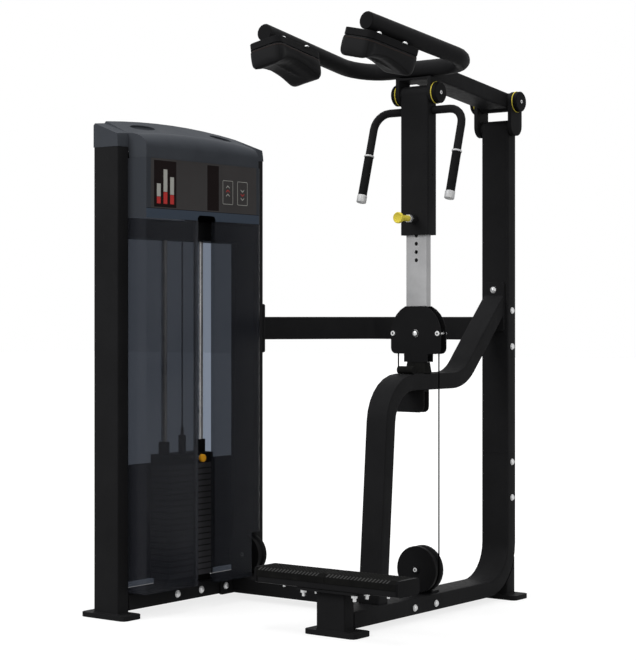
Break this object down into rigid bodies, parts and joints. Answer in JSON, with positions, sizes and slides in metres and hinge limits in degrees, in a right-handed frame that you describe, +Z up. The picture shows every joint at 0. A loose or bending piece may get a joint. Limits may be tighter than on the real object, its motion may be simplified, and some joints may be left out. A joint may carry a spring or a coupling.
{
  "type": "calf raise machine",
  "caption": "Standing calf raise machine: padded lever over a step, cable-linked through a height-adjustable post to an enclosed selectorised weight stack.",
  "frame": {"origin": "centre column of the front foot, on the floor: the underside of the foot plate under the step", "axes": "+Z up, +X from the weight tower towards the open side, +Y from the step to the rear upright"},
  "size_m": [1.064, 1.1325, 1.7493],
  "materials": {
    "front_column": "fine textured black powder coat",
    "step_beam": "fine textured black powder coat",
    "base_beam": "fine textured black powder coat",
    "rear_foot": "fine textured black powder coat",
    "upper_upright": "fine textured black powder coat",
    "brace": "fine textured black powder coat",
    "anchor_bracket": "fine textured black powder coat",
    "link_beam": "fine textured black powder coat",
    "crossbar": "fine textured black powder coat",
    "tower_front_post": "fine textured black powder coat",
    "tower_rear_post": "fine textured black powder coat",
    "tower_base_beam": "fine textured black powder coat",
    "tower_top_beam": "fine textured black powder coat",
    "main_pulley_bracket": "fine textured black powder coat",
    "tower_pulley_bracket": "fine textured black powder coat",
    "step_cap_left": "moulded black plastic end cap",
    "step_cap_right": "moulded black plastic end cap",
    "tread_left": "ribbed anti-slip rubber",
    "tread_right": "ribbed anti-slip rubber",
    "rest_bumper": "solid black rubber",
    "stop_buffer": "solid black rubber",
    "stack_cushion": "solid black rubber",
    "rear_pivot_pin": "black pivot cover on a steel pin",
    "guide_rod_front": "polished chrome-plated rod",
    "guide_rod_rear": "polished chrome-plated rod",
    "cable_fixed_run": "black nylon-coated steel cable",
    "weight_stack": "black painted steel plates",
    "hood": "dark blue-grey moulded plastic",
    "placard": "printed satin panel",
    "shroud_left": "smoked translucent sheet",
    "shroud_right": "smoked translucent sheet",
    "shroud_back": "smoked translucent sheet",
    "lever_arm": "fine textured black powder coat",
    "shoulder_bar": "fine textured black powder coat",
    "front_clevis": "fine textured black powder coat",
    "pad_board_left": "black backing board and steel plate",
    "pad_board_right": "black backing board and steel plate",
    "shoulder_pad_left": "black synthetic leather over moulded foam",
    "shoulder_pad_right": "black synthetic leather over moulded foam",
    "outer_post": "fine textured black powder coat",
    "post_bush": "black glass-filled nylon",
    "handle_left": "fine textured black powder coat",
    "handle_right": "fine textured black powder coat",
    "grip_left": "smooth black rubber grip",
    "grip_right": "smooth black rubber grip",
    "front_pivot_pin": "black pivot cover on a steel pin",
    "pull_pin": "yellow knob on a steel pin",
    "inner_post": "light grey satin paint",
    "pulley_block": "fine textured black powder coat",
    "cable_lift_run": "black nylon-coated steel cable",
    "cable_anchor_run": "black nylon-coated steel cable",
    "cable_wrap": "black nylon-coated steel cable",
    "block_pulley": "black glass-filled nylon",
    "main_low_pulley": "black glass-filled nylon",
    "tower_low_pulley": "black glass-filled nylon",
    "top_pulley_front": "black glass-filled nylon",
    "top_pulley_rear": "black glass-filled nylon",
    "head_plate": "black painted steel plate with bright stem",
    "cable_stack_run": "black nylon-coated steel cable",
    "selector_pin": "amber knob on a steel pin"
  },
  "bodies": {
    "frame": {"front_column": "front_column", "step_beam": "step_beam", "base_beam": "base_beam", "rear_foot": "rear_foot", "upper_upright": "upper_upright", "brace": "brace", "anchor_bracket": "anchor_bracket", "link_beam": "link_beam", "crossbar": "crossbar", "tower_front_post": "tower_front_post", "tower_rear_post": "tower_rear_post", "tower_base_beam": "tower_base_beam", "tower_top_beam": "tower_top_beam", "main_pulley_bracket": "main_pulley_bracket", "tower_pulley_bracket": "tower_pulley_bracket", "step_cap_left": "step_cap_left", "step_cap_right": "step_cap_right", "tread_left": "tread_left", "tread_right": "tread_right", "rest_bumper": "rest_bumper", "stop_buffer": "stop_buffer", "stack_cushion": "stack_cushion", "rear_pivot_pin": "rear_pivot_pin", "guide_rod_front": "guide_rod_front", "guide_rod_rear": "guide_rod_rear", "cable_fixed_run": "cable_fixed_run", "weight_stack": "weight_stack", "hood": "hood", "placard": "placard", "shroud_left": "shroud_left", "shroud_right": "shroud_right", "shroud_back": "shroud_back"},
    "lever": {"lever_arm": "lever_arm", "shoulder_bar": "shoulder_bar", "front_clevis": "front_clevis", "pad_board_left": "pad_board_left", "pad_board_right": "pad_board_right", "shoulder_pad_left": "shoulder_pad_left", "shoulder_pad_right": "shoulder_pad_right"},
    "outer_post": {"outer_post": "outer_post", "post_bush": "post_bush", "handle_left": "handle_left", "handle_right": "handle_right", "grip_left": "grip_left", "grip_right": "grip_right", "front_pivot_pin": "front_pivot_pin"},
    "pull_pin": {"pull_pin": "pull_pin"},
    "telescope": {"inner_post": "inner_post", "pulley_block": "pulley_block", "cable_lift_run": "cable_lift_run", "cable_anchor_run": "cable_anchor_run", "cable_wrap": "cable_wrap"},
    "block_pulley": {"block_pulley": "block_pulley"},
    "main_low_pulley": {"main_low_pulley": "main_low_pulley"},
    "tower_low_pulley": {"tower_low_pulley": "tower_low_pulley"},
    "top_pulley_front": {"top_pulley_front": "top_pulley_front"},
    "top_pulley_rear": {"top_pulley_rear": "top_pulley_rear"},
    "stack_lift": {"head_plate": "head_plate", "cable_stack_run": "cable_stack_run"},
    "selector_pin": {"selector_pin": "selector_pin"}
  },
  "joints": [
    {"name": "lever_lift", "type": "hinge", "parent": "frame", "child": "lever", "pos_m": [0, 0.885, 1.6], "axis": [-1, 0, 0], "range_deg": [0, 22]},
    {"name": "post_swing", "type": "hinge", "parent": "lever", "child": "outer_post", "pos_m": [0, 0.425, 1.585], "axis": [-1, 0, 0], "range_deg": [-23, 1]},
    {"name": "telescope_slide", "type": "slide", "parent": "outer_post", "child": "telescope", "axis": [0, 0, 1], "range_m": [0, 0.125], "deforming": ["cable_lift_run", "cable_anchor_run"]},
    {"name": "pull_pin_slide", "type": "slide", "parent": "outer_post", "child": "pull_pin", "axis": [0, -1, 0], "range_m": [0, 0.012], "stiffness_N_per_m": 800, "springref_m": -0.004},
    {"name": "block_pulley_spin", "type": "hinge", "parent": "telescope", "child": "block_pulley", "pos_m": [0, 0.425, 0.858], "axis": [0, -1, 0], "range_deg": [-5, 150]},
    {"name": "main_low_pulley_spin", "type": "hinge", "parent": "frame", "child": "main_low_pulley", "pos_m": [0.006, 0.425, 0.1425], "axis": [0, -1, 0], "range_deg": [-5, 310]},
    {"name": "tower_low_pulley_spin", "type": "hinge", "parent": "frame", "child": "tower_low_pulley", "pos_m": [-0.672, 0.425, 0.135], "axis": [0, -1, 0], "range_deg": [-5, 345]},
    {"name": "top_pulley_front_spin", "type": "hinge", "parent": "frame", "child": "top_pulley_front", "pos_m": [-0.72, 0.2075, 1.27], "axis": [-1, 0, 0], "range_deg": [-5, 415]},
    {"name": "top_pulley_rear_spin", "type": "hinge", "parent": "frame", "child": "top_pulley_rear", "pos_m": [-0.72, 0.375, 1.27], "axis": [-1, 0, 0], "range_deg": [-5, 415]},
    {"name": "stack_lift_slide", "type": "slide", "parent": "frame", "child": "stack_lift", "axis": [0, 0, 1], "range_m": [-0.001, 0.358], "deforming": ["cable_stack_run"]},
    {"name": "selector_pin_slide", "type": "slide", "parent": "stack_lift", "child": "selector_pin", "axis": [1, 0, 0], "range_m": [0, 0.11]}
  ],
  "couplings": [
    {"joint": "post_swing", "follows": "lever_lift", "ratio": -1},
    {"joint": "block_pulley_spin", "follows": "lever_lift", "ratio": 6.2162},
    {"joint": "main_low_pulley_spin", "follows": "lever_lift", "ratio": 13.529},
    {"joint": "tower_low_pulley_spin", "follows": "lever_lift", "ratio": 15.207},
    {"joint": "top_pulley_front_spin", "follows": "lever_lift", "ratio": 18.4},
    {"joint": "top_pulley_rear_spin", "follows": "lever_lift", "ratio": 18.4},
    {"joint": "stack_lift_slide", "follows": "lever_lift", "m_per_rad": 0.92}
  ]
}
